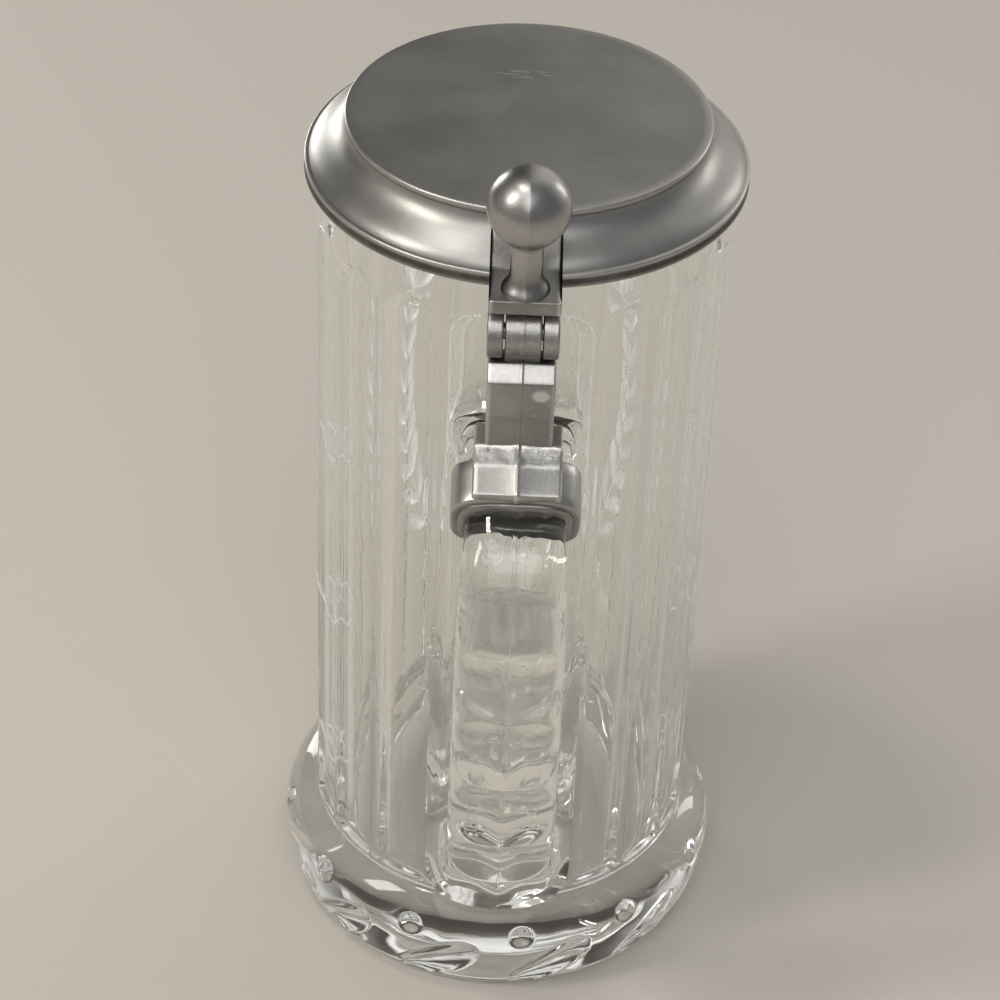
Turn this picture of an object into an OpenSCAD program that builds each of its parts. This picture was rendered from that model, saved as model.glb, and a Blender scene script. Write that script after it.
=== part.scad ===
// Lidded glass beer stein: a fluted glass tankard with a scalloped glass handle, and a hinged
// pewter lid that is carried by a collar on the handle. Millimetres, +Z up, origin at the
// centre of the standing face, handle towards -Y.

/* [Glass body] */
// Outside radius of the straight wall
body_r = 40; // [38:0.5:42]
// Height of the glass rim above the table
glass_h = 178.5; // [172:0.5:190]
// Wall thickness at the rim
wall = 4.7; // [4:0.1:6]
// Height of the inside floor above the table
floor_h = 16; // [12:0.5:20]
// Radius of the inside corner between wall and floor
floor_corner_r = 6; // [3:0.5:10]

/* [Flutes] */
// Number of arched flutes round the wall
flute_count = 18; // [16:1:20]
// Width of the plain ridge between two flutes
flute_land = 1.4; // [1.2:0.1:2]
// Radius of the wheel that hollows a flute
flute_cutter_r = 22; // [18:1:30]
// Plain band between the rim and the flutes' arches
flute_top_band = 8.5; // [6:0.5:12]
// Plain band between the foot and the flutes' lower ends
flute_low_band = 2; // [1:0.5:5]

/* [Foot] */
// Radius at the widest place of the foot
foot_r = 47; // [45.5:0.5:49]
// Height of the widest place
foot_bulge_z = 11.5; // [10:0.5:13]
// Radius of the foot's upper round
foot_round_r = 11; // [9.5:0.5:12]
// Radius of the standing face
foot_base_r = 43.6; // [42:0.2:44.4]

/* [Foot cuts] */
// Number of ball cuts, and of leaning leaf cuts
foot_cut_count = 12; // [10:1:14]
// Angle of the first ball cut from the handle
ball_cut_phase = 7.3; // [0:0.1:15]
// Height of the ball cuts
ball_cut_z = 16; // [15:0.5:17.5]
// Radius of the ball that makes a ball cut
ball_cut_r = 3.2; // [2.8:0.1:4]
// Depth of a ball cut
ball_cut_depth = 1.1; // [0.8:0.1:1.4]
// Angle from a ball cut to its leaf cut
leaf_cut_phase = 9.5; // [8:0.5:12]
// Height of a leaf cut's middle
leaf_cut_z = 8.5; // [8:0.5:10]
// Radius of the wheel that makes a leaf cut
leaf_cut_r = 7.5; // [5:0.5:8]
// Depth of a leaf cut
leaf_cut_depth = 1.6; // [1:0.1:1.8]
// Lean of a leaf cut from the horizontal
leaf_cut_lean = 41; // [34:1:48]
// Tilt of a leaf cut, whose lower end turns in under the foot
leaf_cut_tuck = 12; // [8:1:16]
// Length of the wheel's pass
leaf_cut_pass = 26; // [24:1:30]

/* [Glass handle] */
// Distance from the rim down to where the handle's middle line leaves the wall
handle_drop = 35.5; // [33:0.5:38]
// Fall of the handle's upper arm below the horizontal
handle_fall = 27; // [24:1:30]
// Length of the straight upper arm
handle_arm = 21.2; // [20.4:0.2:24]
// Radius of the bend from the arm into the grip, on the middle line
handle_bend_r = 15.2; // [13:0.2:18]
// Height at which the middle line comes back into the wall
handle_low_z = 34; // [32:0.5:38]
// Width of the upper arm
handle_top_w = 18.5; // [17:0.5:20]
// Width at the lower root
handle_low_w = 22; // [20:0.5:24]
// Depth of the handle, from finger side to outer side
handle_d = 13.5; // [12:0.5:15]
// Crown of the grip's outer side
handle_crown = 1.2; // [0.5:0.1:2]
// Depth of the thumb scallops on the outer side
scallop_depth = 1.6; // [0.8:0.1:2]
// Number of thumb scallops
scallop_count = 5; // [4:1:6]

/* [Handle collar] */
// Distance from the wall to the collar, along the handle
collar_from = 8.8; // [8.4:0.1:10]
// Length of the collar along the handle
collar_len = 9; // [8:0.2:10]
// Wall thickness of the collar
collar_wall = 2.7; // [2:0.1:3]

/* [Hinge] */
// Width over the knuckles
hinge_w = 12.8; // [12:0.2:15]
// Width of the middle knuckle
knuckle_mid_w = 6.4; // [5.6:0.1:7]
// Radius of the knuckles
knuckle_r = 4.8; // [4.5:0.1:5.2]
// Radius of the hinge pin
pin_r = 1.5; // [1.2:0.1:1.8]
// Thickness of the plug that closes each end of the pin's bore
plug_t = 1; // [0.6:0.1:1.4]
// Distance of the hinge pin outside the lid's edge
hinge_out = 6.3; // [6:0.1:7]
// Distance of the hinge pin below the glass rim
hinge_drop = 6.2; // [6:0.1:6.8]
// Radial clearance of the pin in the middle knuckle
pin_clearance = 0.05; // [0.03:0.01:0.09]
// Gap between parts that turn past each other
hinge_gap = 0.35; // [0.3:0.05:0.5]

/* [Shank] */
// Width of the shank below the hinge
shank_w = 12.2; // [11:0.2:14]
// Width of the shank's foot on the collar
shank_foot_w = 16.2; // [14.5:0.1:17]
// Thickness of the shank's foot on the collar
shank_foot_t = 1.5; // [1:0.1:2]
// Distance from the hinge pin to the shank's outer face
shank_front = 5.2; // [4.8:0.1:5.6]
// Distance from the hinge pin to the shank's inner face
shank_back = 1.9; // [1.6:0.1:2.4]
// Size of the sloped shoulder under the hinge
shoulder = 2.7; // [2:0.1:3.4]
// Distance from the hinge pin to the outer face of the neck that carries the middle knuckle
neck_front = 1.8; // [1.5:0.1:2.1]

/* [Lid] */
// Gap between the lid's skirt and the glass
skirt_gap = 0.6; // [0.5:0.05:0.8]
// Thickness of the skirt
skirt_t = 1.4; // [1.2:0.1:2]
// How far the skirt reaches down over the glass rim
skirt_over = 1.4; // [1:0.1:2]
// Height of the lid's upright edge
lid_edge_h = 2.8; // [2.5:0.1:3.5]
// Radial run of the ogee, from the lid's edge to the raised disc
ogee_run = 7.5; // [6.5:0.1:9]
// Height of the raised disc's edge above the skirt's lower edge
lid_h = 11.5; // [10.5:0.1:13]
// Thickness of the raised disc's lip
disc_lip_t = 1.6; // [1.2:0.1:2.2]
// Rise of the disc's middle above its edge
disc_rise = 0.4; // [0.2:0.1:1.2]
// Thickness of the lid's sheet
lid_sheet = 2; // [1.6:0.1:2.4]
// Gap between the closed lid and the glass rim
lid_seat_gap = 0.2; // [0.1:0.05:0.3]

/* [Tang and thumb lift] */
// Thickness of the tang where it lies on the lid
strap_t = 1.2; // [0.8:0.1:1.4]
// Thickness of the tang's outer edge
tang_t = 2.8; // [2.5:0.1:3.1]
// Distance from the hinge pin to the tang's outer face
tang_front = 4; // [3.4:0.1:4.2]
// Distance from the hinge pin to the outer face of the webs that join the tang to its knuckles
web_front = 1.2; // [0.8:0.1:1.6]
// Distance of the thumb lift behind the hinge pin
lift_back = 0.5; // [0.2:0.1:1]
// Radius of the ball
ball_r = 7.4; // [6.5:0.1:8]
// Radius of the stem
stem_r = 2.9; // [2.4:0.1:3.5]
// Radius of the stem's flared foot
stem_flare_r = 4.2; // [3.8:0.1:4.8]
// Height of the flared foot
stem_flare_h = 2.4; // [2:0.1:3.5]
// Height of the ball's centre above the tang
ball_rise = 16.7; // [15:0.1:18]

/* [Hidden] */
$fn = 64;
over = 1; // how far a cutter runs past what it cuts

glass_colour = "#cfd6cc";
pewter_colour = "#8d8c88";
pin_colour = "#b5b2aa";

// Derived sizes of the glass
inner_r = body_r - wall;
foot_low_r = (pow(foot_r - foot_base_r, 2) + pow(foot_bulge_z, 2)) / (2 * (foot_r - foot_base_r));
foot_round_c = foot_r - foot_round_r;
foot_top_z = foot_bulge_z + sqrt(pow(foot_round_r, 2) - pow(body_r - foot_round_c, 2));
flute_half_w = PI * body_r / flute_count - flute_land / 2;
flute_axis_r = sqrt(pow(body_r, 2) - pow(flute_half_w, 2))
    + sqrt(pow(flute_cutter_r, 2) - pow(flute_half_w, 2));
flute_arch_more = 0.25; // the arch is this much wider than the flute, so no edges coincide
flute_arch_r = flute_half_w + flute_arch_more;
flute_spring_z = glass_h - flute_top_band - flute_arch_r;
flute_low_z = foot_top_z + flute_low_band;

// Radius of the foot's outside at a height
function foot_radius(z) = z > foot_bulge_z
    ? foot_round_c + sqrt(pow(foot_round_r, 2) - pow(z - foot_bulge_z, 2))
    : foot_r - foot_low_r + sqrt(pow(foot_low_r, 2) - pow(z - foot_bulge_z, 2));
// Angle of the foot's outward normal above the horizontal at a height
function foot_slope(z) = z > foot_bulge_z
    ? asin((z - foot_bulge_z) / foot_round_r)
    : asin((z - foot_bulge_z) / foot_low_r);

// Cubic Bezier point and direction
function bezier(p, t) = p[0] * pow(1 - t, 3) + p[1] * 3 * t * pow(1 - t, 2)
    + p[2] * 3 * pow(t, 2) * (1 - t) + p[3] * pow(t, 3);
function bezier_way(p, t) = (p[1] - p[0]) * pow(1 - t, 2) + (p[2] - p[1]) * 2 * t * (1 - t)
    + (p[3] - p[2]) * pow(t, 2);
function unit(v) = v / norm(v);

// The handle's middle line as [y, z]: the straight arm for t from 0 to 1, the bend from 1 to 2,
// and the grip's curve back to the wall from 2 to 3.
root_depth = 3; // how far the middle line starts inside the wall
arm_way = [-cos(handle_fall), -sin(handle_fall)];
arm_out = [-sin(handle_fall), cos(handle_fall)];
arm_wall = [-body_r, glass_h - handle_drop];
arm_start = arm_wall - arm_way * root_depth;
arm_end = arm_wall + arm_way * handle_arm;
bend_c = arm_end - arm_out * handle_bend_r;
grip_start = [bend_c[0] - handle_bend_r, bend_c[1]];
grip_pull = 38;   // how far the grip runs straight down before it turns in
low_pull = 32;    // how far the grip runs straight into its lower root
low_fall = 36;    // fall of the handle at its lower root
low_root = [-body_r + root_depth, handle_low_z];
grip_curve = [grip_start, grip_start - [0, grip_pull],
              low_root + low_pull * [-cos(low_fall), sin(low_fall)], low_root];
function bend_angle(t) = handle_fall + (t - 1) * (90 - handle_fall);
function handle_point(t) = t <= 1 ? arm_start + (arm_end - arm_start) * t
    : t <= 2 ? bend_c + handle_bend_r * [-sin(bend_angle(t)), cos(bend_angle(t))]
    : bezier(grip_curve, t - 2);
function handle_way(t) = t <= 1 ? arm_way
    : t <= 2 ? [-cos(bend_angle(t)), -sin(bend_angle(t))]
    : unit(bezier_way(grip_curve, t - 2));
// Direction to the handle's outer side
function handle_out(t) = let (d = handle_way(t)) [d[1], -d[0]];
function handle_half_w(t) = (handle_top_w + (handle_low_w - handle_top_w) * max(t - 1, 0) / 2) / 2;

// The section is a rounded rectangle (a superellipse); the grip's outer side has a crown with scallops.
section_power = 3.2;
section_points = 28;
crown_power = 1.4;
scallop_end = 0.93;    // share of the grip's curve that has scallops
scallop_spread = 0.87; // scallops grow longer towards the lower root
function corner(c) = sign(c) * pow(abs(c), 2 / section_power);
function scallop(t) = t <= 2 || t >= 2 + scallop_end ? 0
    : let (k = scallop_count * pow((t - 2) / scallop_end, scallop_spread), f = k - floor(k)) 4 * f * (1 - f);
function crown(t) = handle_crown * min(max(t - 1, 0), 1);
function section(t, grow) = [for (i = [0 : section_points - 1])
    let (a = 360 * i / section_points, x = corner(cos(a)), v = corner(sin(a)),
         rise = v > 0 ? (crown(t) - scallop_depth * scallop(t)) * (1 - pow(abs(x), crown_power)) * v : 0)
    [x * (handle_half_w(t) + grow), v * (handle_d / 2 + grow) + rise]];
function ring(t, grow) = let (p = handle_point(t), n = handle_out(t))
    [for (s = section(t, grow)) [s[0], p[0] + n[0] * s[1], p[1] + n[1] * s[1]]];

// A solid that follows the middle line through the places ts, grown by grow all round
module handle_sweep(ts, grow = 0) {
    m = section_points;
    last = len(ts) - 1;
    points = [for (t = ts) each ring(t, grow)];
    sides = [for (k = [0 : last - 1], i = [0 : m - 1])
        let (a = k * m + i, b = k * m + (i + 1) % m)
        each [[a, a + m, b + m], [a, b + m, b]]];
    first_end = [[for (i = [0 : m - 1]) i]];
    last_end = [[for (i = [m - 1 : -1 : 0]) last * m + i]];
    polyhedron(points, concat(first_end, sides, last_end), convexity = 8);
}

// Places of the handle's rings: few on the arm and bend, more where the scallops are
bend_rings = 10;
grip_rings = 40;
handle_places = concat([0], [for (i = [0 : bend_rings]) 1 + i / bend_rings],
                       [for (i = [1 : grip_rings]) 2 + i / grip_rings]);
// Places on the arm at a distance from the wall
function arm_place(distance) = (root_depth + distance) / (root_depth + handle_arm);
collar_t0 = arm_place(collar_from);
collar_t1 = arm_place(collar_from + collar_len);
bore_t0 = arm_place(collar_from - over);
bore_t1 = arm_place(collar_from + collar_len + over);
// A point of the arm's outer side at a place, lifted off the glass
function arm_edge(t, lift) = handle_point(t) + arm_out * (handle_d / 2 + lift);

// Places of the hinge and the lid
skirt_r = body_r + skirt_gap;
lid_r = skirt_r + skirt_t;
disc_r = lid_r - ogee_run;
lid_z = glass_h - skirt_over;
seat_h = skirt_over + lid_seat_gap;
hinge_y = -(lid_r + hinge_out);
hinge_z = glass_h - hinge_drop;
outer_knuckle_w = (hinge_w - knuckle_mid_w) / 2 - hinge_gap;

// Lid outline above the skirt's lower edge, as [radius, height]: edge, ogee, lip of the disc, disc
edge_round = 0.3;
edge_lip = 0.9;
lip_round = 0.4;
ogee_foot = [lid_r - edge_lip, lid_edge_h];
ogee_head = [disc_r - lip_round, lid_h - disc_lip_t];
ogee_rise = ogee_head[1] - ogee_foot[1];
ogee_lean = 1.4;      // how far the ogee leans in as it leaves the edge
ogee_climb = 0.42;    // share of the rise that it climbs steeply
ogee_creep = 0.16;    // share of the run over which it turns up to the disc
ogee_drop = 0.6;      // share of the rise that it makes there
ogee = [ogee_foot, ogee_foot + [-ogee_lean, ogee_climb * ogee_rise],
        ogee_head + [ogee_creep * ogee_run, -ogee_drop * ogee_rise], ogee_head];
ogee_steps = 14;
lid_outline = concat(
    [[0, 0], [lid_r - edge_round, 0], [lid_r, edge_round], [lid_r, lid_edge_h - edge_round]],
    [for (i = [0 : ogee_steps]) bezier(ogee, i / ogee_steps)],
    [[disc_r, lid_h - disc_lip_t + lip_round], [disc_r, lid_h - lip_round], [disc_r - lip_round, lid_h],
     [0, lid_h + disc_rise]]);
// Hollow under the lid: room for the glass rim, then the space under the disc
hollow_r = disc_r - lip_round - lid_sheet;
hollow_h = lid_h - lid_sheet;
hollow_round = 2;
hollow_outline = [[0, -over], [skirt_r, -over], [skirt_r, seat_h], [hollow_r, seat_h],
                  [hollow_r, hollow_h - hollow_round], [hollow_r - hollow_round, hollow_h], [0, hollow_h]];

// Lays an outline drawn as [y, z] in the plane of the handle, with its width along X
module across(width) {
    rotate([90, 0, 90]) linear_extrude(width, center = true) children();
}

// A round bar along the hinge pin's line
module hinge_bar(r, width, x = 0) {
    translate([x, hinge_y, hinge_z]) rotate([0, 90, 0]) cylinder(r = r, h = width, center = true);
}

// Glass body

module foot_outline() {
    intersection() {
        translate([foot_round_c, foot_bulge_z]) circle(foot_round_r);
        translate([0, foot_bulge_z]) square([foot_r + over, foot_round_r + over]);
    }
    intersection() {
        translate([foot_r - foot_low_r, foot_bulge_z]) circle(foot_low_r);
        square([foot_r + over, foot_bulge_z]);
    }
    square([foot_round_c, foot_top_z]);
}

// A flute is the wheel's hollow, seen through an arched window
module flute_cutter() {
    intersection() {
        translate([0, -flute_axis_r, flute_low_z])
            cylinder(r = flute_cutter_r, h = glass_h - flute_low_z);
        translate([0, -inner_r, 0]) rotate([90, 0, 0]) linear_extrude(wall + over) {
            translate([-flute_arch_r, flute_low_z]) square([2 * flute_arch_r, flute_spring_z - flute_low_z]);
            translate([0, flute_spring_z]) circle(flute_arch_r);
        }
    }
}

module ball_cutter() {
    slope = foot_slope(ball_cut_z);
    lift = ball_cut_r - ball_cut_depth;
    translate([0, -foot_radius(ball_cut_z) - lift * cos(slope), ball_cut_z + lift * sin(slope)])
        sphere(ball_cut_r);
}

module leaf_cutter() {
    slope = foot_slope(leaf_cut_z);
    lift = leaf_cut_r - leaf_cut_depth;
    translate([0, -foot_radius(leaf_cut_z) - lift * cos(slope), leaf_cut_z + lift * sin(slope)])
        rotate([leaf_cut_tuck, 0, 0]) rotate([0, 90 - leaf_cut_lean, 0])
            cylinder(r = leaf_cut_r, h = leaf_cut_pass, center = true);
}

// Plain places of the wall where the handle's roots stand
pad_side = 1; // margin of a pad on each side of the handle
pad_end = 3;  // margin above and below it
pad_w = handle_low_w + 2 * pad_side;
pad_h = handle_d / cos(low_fall) + 2 * pad_end;

module root_pad(z) {
    intersection() {
        cylinder(r = body_r, h = glass_h);
        translate([-pad_w / 2, -body_r - over, z - pad_h / 2]) cube([pad_w, wall + over, pad_h]);
    }
}

module glass_body() {
    color(glass_colour, 0.35)
        difference() {
            union() {
                difference() {
                    union() {
                        cylinder(r = body_r, h = glass_h);
                        rotate_extrude() foot_outline();
                    }
                    for (i = [0 : flute_count - 1]) rotate((i + 0.5) * 360 / flute_count) flute_cutter();
                    for (i = [0 : foot_cut_count - 1]) rotate(ball_cut_phase + i * 360 / foot_cut_count) {
                        ball_cutter();
                        rotate(leaf_cut_phase) leaf_cutter();
                    }
                }
                root_pad(arm_wall[1]);
                root_pad(handle_low_z + root_depth * tan(low_fall));
            }
            translate([0, 0, floor_h + floor_corner_r])
                cylinder(r = inner_r, h = glass_h - floor_h - floor_corner_r + over);
            translate([0, 0, floor_h]) cylinder(r = inner_r - floor_corner_r, h = floor_corner_r + over);
            translate([0, 0, floor_h + floor_corner_r])
                rotate_extrude() translate([inner_r - floor_corner_r, 0]) circle(floor_corner_r);
        }
}

// Glass handle

module glass_handle() {
    color(glass_colour, 0.35)
        difference() {
            handle_sweep(handle_places);
            cylinder(r = body_r, h = glass_h);
        }
}

// Pewter collar round the handle

module handle_collar() {
    color(pewter_colour)
        difference() {
            handle_sweep([collar_t0, collar_t1], collar_wall);
            handle_sweep([bore_t0, bore_t1]);
        }
}

// Shank that stands on the collar and carries the middle knuckle

module hinge_shank() {
    back_y = hinge_y + shank_back;
    front_y = hinge_y - shank_front;
    top_z = hinge_z - knuckle_r - hinge_gap;
    back_edge = arm_edge(collar_t0, collar_wall);
    front_edge = arm_edge(collar_t1, collar_wall);
    in_wall = collar_wall / 2;
    step = back_edge + arm_out * shank_foot_t;
    fillet = 2; // the foot slopes up into the shank over this height
    color(pewter_colour)
        difference() {
            union() {
                hinge_bar(knuckle_r, knuckle_mid_w);
                across(knuckle_mid_w) polygon([[back_y, top_z - over], [back_y, hinge_z],
                    [hinge_y - neck_front, hinge_z], [hinge_y - neck_front, top_z - over]]);
                across(shank_w) polygon([[back_y, step[1]], [back_y, top_z],
                    [front_y + shoulder, top_z], [front_y, top_z - shoulder],
                    [front_y, step[1] + fillet - over], back_edge]);
                across(shank_foot_w) polygon([[back_y, step[1]], [back_y, step[1] + fillet],
                    [front_y, step[1] + fillet], [front_y - fillet, step[1] - over],
                    front_edge + arm_out * shank_foot_t, arm_edge(collar_t1, in_wall),
                    arm_edge(collar_t0, in_wall)]);
            }
            hinge_bar(pin_r + pin_clearance, hinge_w + over);
            handle_sweep([collar_t0, collar_t1], collar_wall);
        }
}

// Hinge pin and the plugs that close its bore

module hinge_pin() {
    color(pin_colour) hinge_bar(pin_r, hinge_w - 2 * plug_t);
}

module pin_plugs() {
    color(pewter_colour)
        for (side = [-1, 1]) hinge_bar(pin_r, plug_t, side * (hinge_w - plug_t) / 2);
}

// Lid

module lid_solid() {
    translate([0, 0, lid_z]) rotate_extrude() polygon(lid_outline);
}

module lid_cap() {
    color(pewter_colour)
        difference() {
            lid_solid();
            translate([0, 0, lid_z]) rotate_extrude() polygon(hollow_outline);
        }
}

// Tang that lies on the lid's ogee and joins it to the hinge's outer knuckles

tang_z = lid_z + lid_edge_h + strap_t;
strap_steps = 7;
strap_first = 2;          // the strap leaves the tang's flat part at this step of the ogee
strap_way = [-0.6, 0.8];  // direction in which the strap stands off the ogee
strap_line = [for (i = [strap_first : strap_steps])
    let (p = bezier(ogee, i / strap_steps)) [-p[0], lid_z + p[1]] + strap_t * strap_way];
strap_foot_y = -ogee_foot[0] + strap_t * strap_way[0];

module lid_tang() {
    color(pewter_colour)
        difference() {
            union() {
                across(hinge_w) polygon(concat(
                    [[hinge_y - web_front, hinge_z], [hinge_y - web_front, tang_z - tang_t],
                     [hinge_y - tang_front, tang_z - tang_t], [hinge_y - tang_front, tang_z],
                     [strap_foot_y, tang_z]],
                    strap_line,
                    [[-disc_r + lid_sheet, ogee_head[1] + lid_z], [-disc_r + lid_sheet, lid_z], [-lid_r, lid_z],
                     [hinge_y + knuckle_r, hinge_z]]));
                hinge_bar(knuckle_r, hinge_w);
            }
            hinge_bar(knuckle_r + hinge_gap, hinge_w - 2 * outer_knuckle_w);
            hinge_bar(pin_r, hinge_w + over);
            lid_solid();
        }
}

// Thumb lift: a ball on a stem that stands on the tang

module thumb_lift() {
    color(pewter_colour) translate([0, hinge_y + lift_back, tang_z]) {
        cylinder(r1 = stem_flare_r, r2 = stem_r, h = stem_flare_h);
        cylinder(r = stem_r, h = ball_rise);
        translate([0, 0, ball_rise]) sphere(ball_r);
    }
}

glass_body();
glass_handle();
handle_collar();
hinge_shank();
hinge_pin();
pin_plugs();
lid_cap();
lid_tang();
thumb_lift();
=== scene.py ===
import math

import bmesh
import bpy
import numpy as np
from mathutils import Matrix, Vector


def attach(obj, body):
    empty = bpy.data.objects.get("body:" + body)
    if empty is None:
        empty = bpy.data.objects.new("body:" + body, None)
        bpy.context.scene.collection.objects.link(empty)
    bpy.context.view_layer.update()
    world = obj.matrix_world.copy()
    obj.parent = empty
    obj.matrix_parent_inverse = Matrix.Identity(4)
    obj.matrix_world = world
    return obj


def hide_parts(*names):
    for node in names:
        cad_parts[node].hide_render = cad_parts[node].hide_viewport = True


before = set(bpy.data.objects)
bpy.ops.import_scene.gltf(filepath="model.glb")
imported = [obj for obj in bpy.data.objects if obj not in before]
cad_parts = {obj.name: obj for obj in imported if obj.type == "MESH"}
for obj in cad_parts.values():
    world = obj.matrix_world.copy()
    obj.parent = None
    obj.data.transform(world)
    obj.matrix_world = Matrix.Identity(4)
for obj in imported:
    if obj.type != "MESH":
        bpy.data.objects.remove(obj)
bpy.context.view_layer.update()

# Sizes of the stein in millimetres. They are the solids' own, apart from the flutes' soft edge and hollow, the
# handle's crown and the depth of its thumb scallops, which are fuller here. The handle points to -Y.
MM = 0.001
BODY_R, GLASS_H, INNER_R, FLOOR_H, FLOOR_CORNER = 40.0, 178.5, 35.3, 16.0, 6.0
FLUTES, FLUTE_LAND, FLUTE_TOP, FLUTE_LOW_BAND = 18, 1.4, 170.0, 2.0
FLUTE_EDGE, FLUTE_EDGE_DEPTH, FLUTE_HOLLOW = 2.4, 0.8, 0.4
FOOT_R, FOOT_BULGE_Z, FOOT_ROUND, FOOT_BASE = 47.0, 11.5, 11.0, 43.6
FOOT_CUTS, BALL_PHASE, LEAF_PHASE = 12, 7.3, 9.5
BALL_Z, BALL_CUT_R, BALL_CUT_DEPTH = 16.0, 3.2, 1.1
LEAF_Z, LEAF_CUT_R, LEAF_CUT_DEPTH, LEAF_LEAN, LEAF_TUCK = 8.5, 7.5, 1.6, 41.0, 12.0
ARM_FALL, ARM_LENGTH, BEND_R, ROOT_DEPTH = 27.0, 21.2, 15.2, 3.0
HANDLE_DROP, HANDLE_LOW_Z, LOW_FALL, GRIP_PULL, LOW_PULL = 35.5, 34.0, 36.0, 38.0, 32.0
HANDLE_TOP_W, HANDLE_LOW_W, HANDLE_D, HANDLE_CROWN, HANDLE_POWER = 18.5, 22.0, 13.5, 1.8, 3.4
SCALLOPS, SCALLOP_DEPTH, SCALLOP_END, SCALLOP_SPREAD = 5, 2.9, 0.93, 0.87
COLLAR_FROM, COLLAR_LENGTH, COLLAR_WALL = 8.8, 9.0, 2.7
HINGE_Y, HINGE_Z, KNUCKLE_R, HINGE_W, MIDDLE_W, HINGE_GAP = -48.3, 172.3, 4.8, 12.8, 6.4, 0.35
SHANK_W, SHANK_FOOT_W, SHANK_FOOT_T, SHANK_FRONT, SHANK_BACK = 12.2, 16.2, 1.5, 5.2, 1.9
SHOULDER, NECK_FRONT = 2.7, 1.8
LID_Z, LID_R, LID_EDGE, LID_LIP, LID_H, DISC_R, DISC_RISE = 177.1, 42.0, 2.8, 0.9, 11.5, 34.5, 0.4
DISC_LIP, DISC_ROUND, SKIRT_R, LID_SEAT, LID_HOLLOW_R, LID_HOLLOW_H = 1.6, 0.4, 40.6, 1.6, 32.1, 9.5
STRAP_T, TANG_T, TANG_FRONT, WEB_FRONT = 1.2, 2.8, 4.0, 1.2
LIFT_BACK, BALL_R, BALL_RISE, STEM_R, FLARE_R, PIN_R = 0.5, 7.4, 16.7, 2.9, 4.2, 1.5
# The mould's two halves leave a low ridge down the middle of the castings, with a fine bead on it.
RIDGE_TILT, RIDGE_REACH, SEAM_H, SEAM_W = 0.2, 2.4, 0.12, 0.25


class Piece:
    """Gathers closed shells, each a grid of points in millimetres, into one mesh."""

    def __init__(self):
        self.points, self.faces, self.count = [], [], 0
        self.marks = {"grime_and_painted_light": [], "rough": []}

    def add(self, grid, closed=False, grime_and_painted_light=0.0, rough=0.0):
        """Quads join the rows of the grid, whose rows are closed rings. An open end is closed by one face.
        Grime and painted light: dark above 0 (tarnish, and in places painted shade) and bright below it
        (rubbed metal, and in places painted highlights); rough is how strongly the cast skin shows."""
        rows, around, _ = grid.shape
        i = np.arange(rows if closed else rows - 1)[:, None]
        j = np.arange(around)[None, :]
        k = (i + 1) % rows
        j1 = (j + 1) % around
        quads = np.stack([i * around + j, i * around + j1, k * around + j1, k * around + j], -1)
        self.faces += (quads.reshape(-1, 4) + self.count).tolist()
        if not closed:
            self.faces.append((np.arange(around) + self.count).tolist())
            self.faces.append((np.arange(around) + self.count + (rows - 1) * around).tolist())
        self.points.append(grid.reshape(-1, 3))
        for name, value in (("grime_and_painted_light", grime_and_painted_light), ("rough", rough)):
            self.marks[name].append(np.broadcast_to(value, (rows, around)).ravel())
        self.count += rows * around
        return self

    def make(self, name, body=None, material=None, nodes=(), slot=None, sharp=None):
        """The mesh object, with faces turned outwards; the marks become point attributes."""
        mesh = bpy.data.meshes.new(name)
        mesh.from_pydata((np.concatenate(self.points) * MM).tolist(), [], self.faces)
        for key, values in self.marks.items():
            layer = mesh.attributes.new(key, "FLOAT", "POINT")
            layer.data.foreach_set("value", np.concatenate(values).astype(np.float32))
        work = bmesh.new()
        work.from_mesh(mesh)
        bmesh.ops.recalc_face_normals(work, faces=work.faces)
        work.to_mesh(mesh)
        work.free()
        mesh.shade_smooth()
        if sharp:
            mesh.set_sharp_from_angle(angle=math.radians(sharp))
        piece = bpy.data.objects.new(name, mesh)
        bpy.context.scene.collection.objects.link(piece)
        if body:
            settle(piece, body, material, nodes)
        return piece


def settle(piece, body, material, nodes=()):
    """Gives a piece its finish, its body and the nodes that it stands for."""
    piece.data.materials.clear()
    piece.data.materials.append(material)
    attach(piece, body)
    if nodes:
        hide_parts(*nodes)


# Curves and solids

def step(x, low, high):
    """0 below low, 1 above high, smooth in between."""
    t = np.clip((x - low) / (high - low), 0, 1)
    return t * t * (3 - 2 * t)


def ring_angles(around, fine=()):
    """Angles round a full turn, with more of them beside the front and back seam at the offsets in fine."""
    whole = 2 * np.pi
    even = np.linspace(0, whole, around, endpoint=False)
    extra = np.array([side + sign * offset for side in (0, np.pi) for sign in (-1, 1) for offset in fine])
    return np.unique(np.mod(np.concatenate([even, extra]), whole))


def turned(profile, angles):
    """A profile of [radius, height] rows carried round the Z axis: x = r sin a, y = -r cos a."""
    a = angles[None, :]
    r, z = profile[:, :1], profile[:, 1:]
    return np.stack([r * np.sin(a), -r * np.cos(a), z + 0 * a], -1)


def along_x(grid, y, z):
    """Turns a shape made about Z so that its axis lies along X through (y, z)."""
    return np.stack([grid[..., 2], grid[..., 0] + y, grid[..., 1] + z], -1)


def arc(centre, radius, start, end, count):
    """Points on a circle from one angle to another, in degrees."""
    a = np.radians(np.linspace(start, end, count))
    return np.stack([centre[0] + radius * np.cos(a), centre[1] + radius * np.sin(a)], -1)


def bezier(p, t):
    """Cubic curve through the first and last of four points, at the parameters t."""
    p, t = np.asarray(p, float), np.asarray(t, float)[:, None]
    return p[0] * (1 - t) ** 3 + p[1] * 3 * t * (1 - t) ** 2 + p[2] * 3 * t ** 2 * (1 - t) + p[3] * t ** 3


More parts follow.
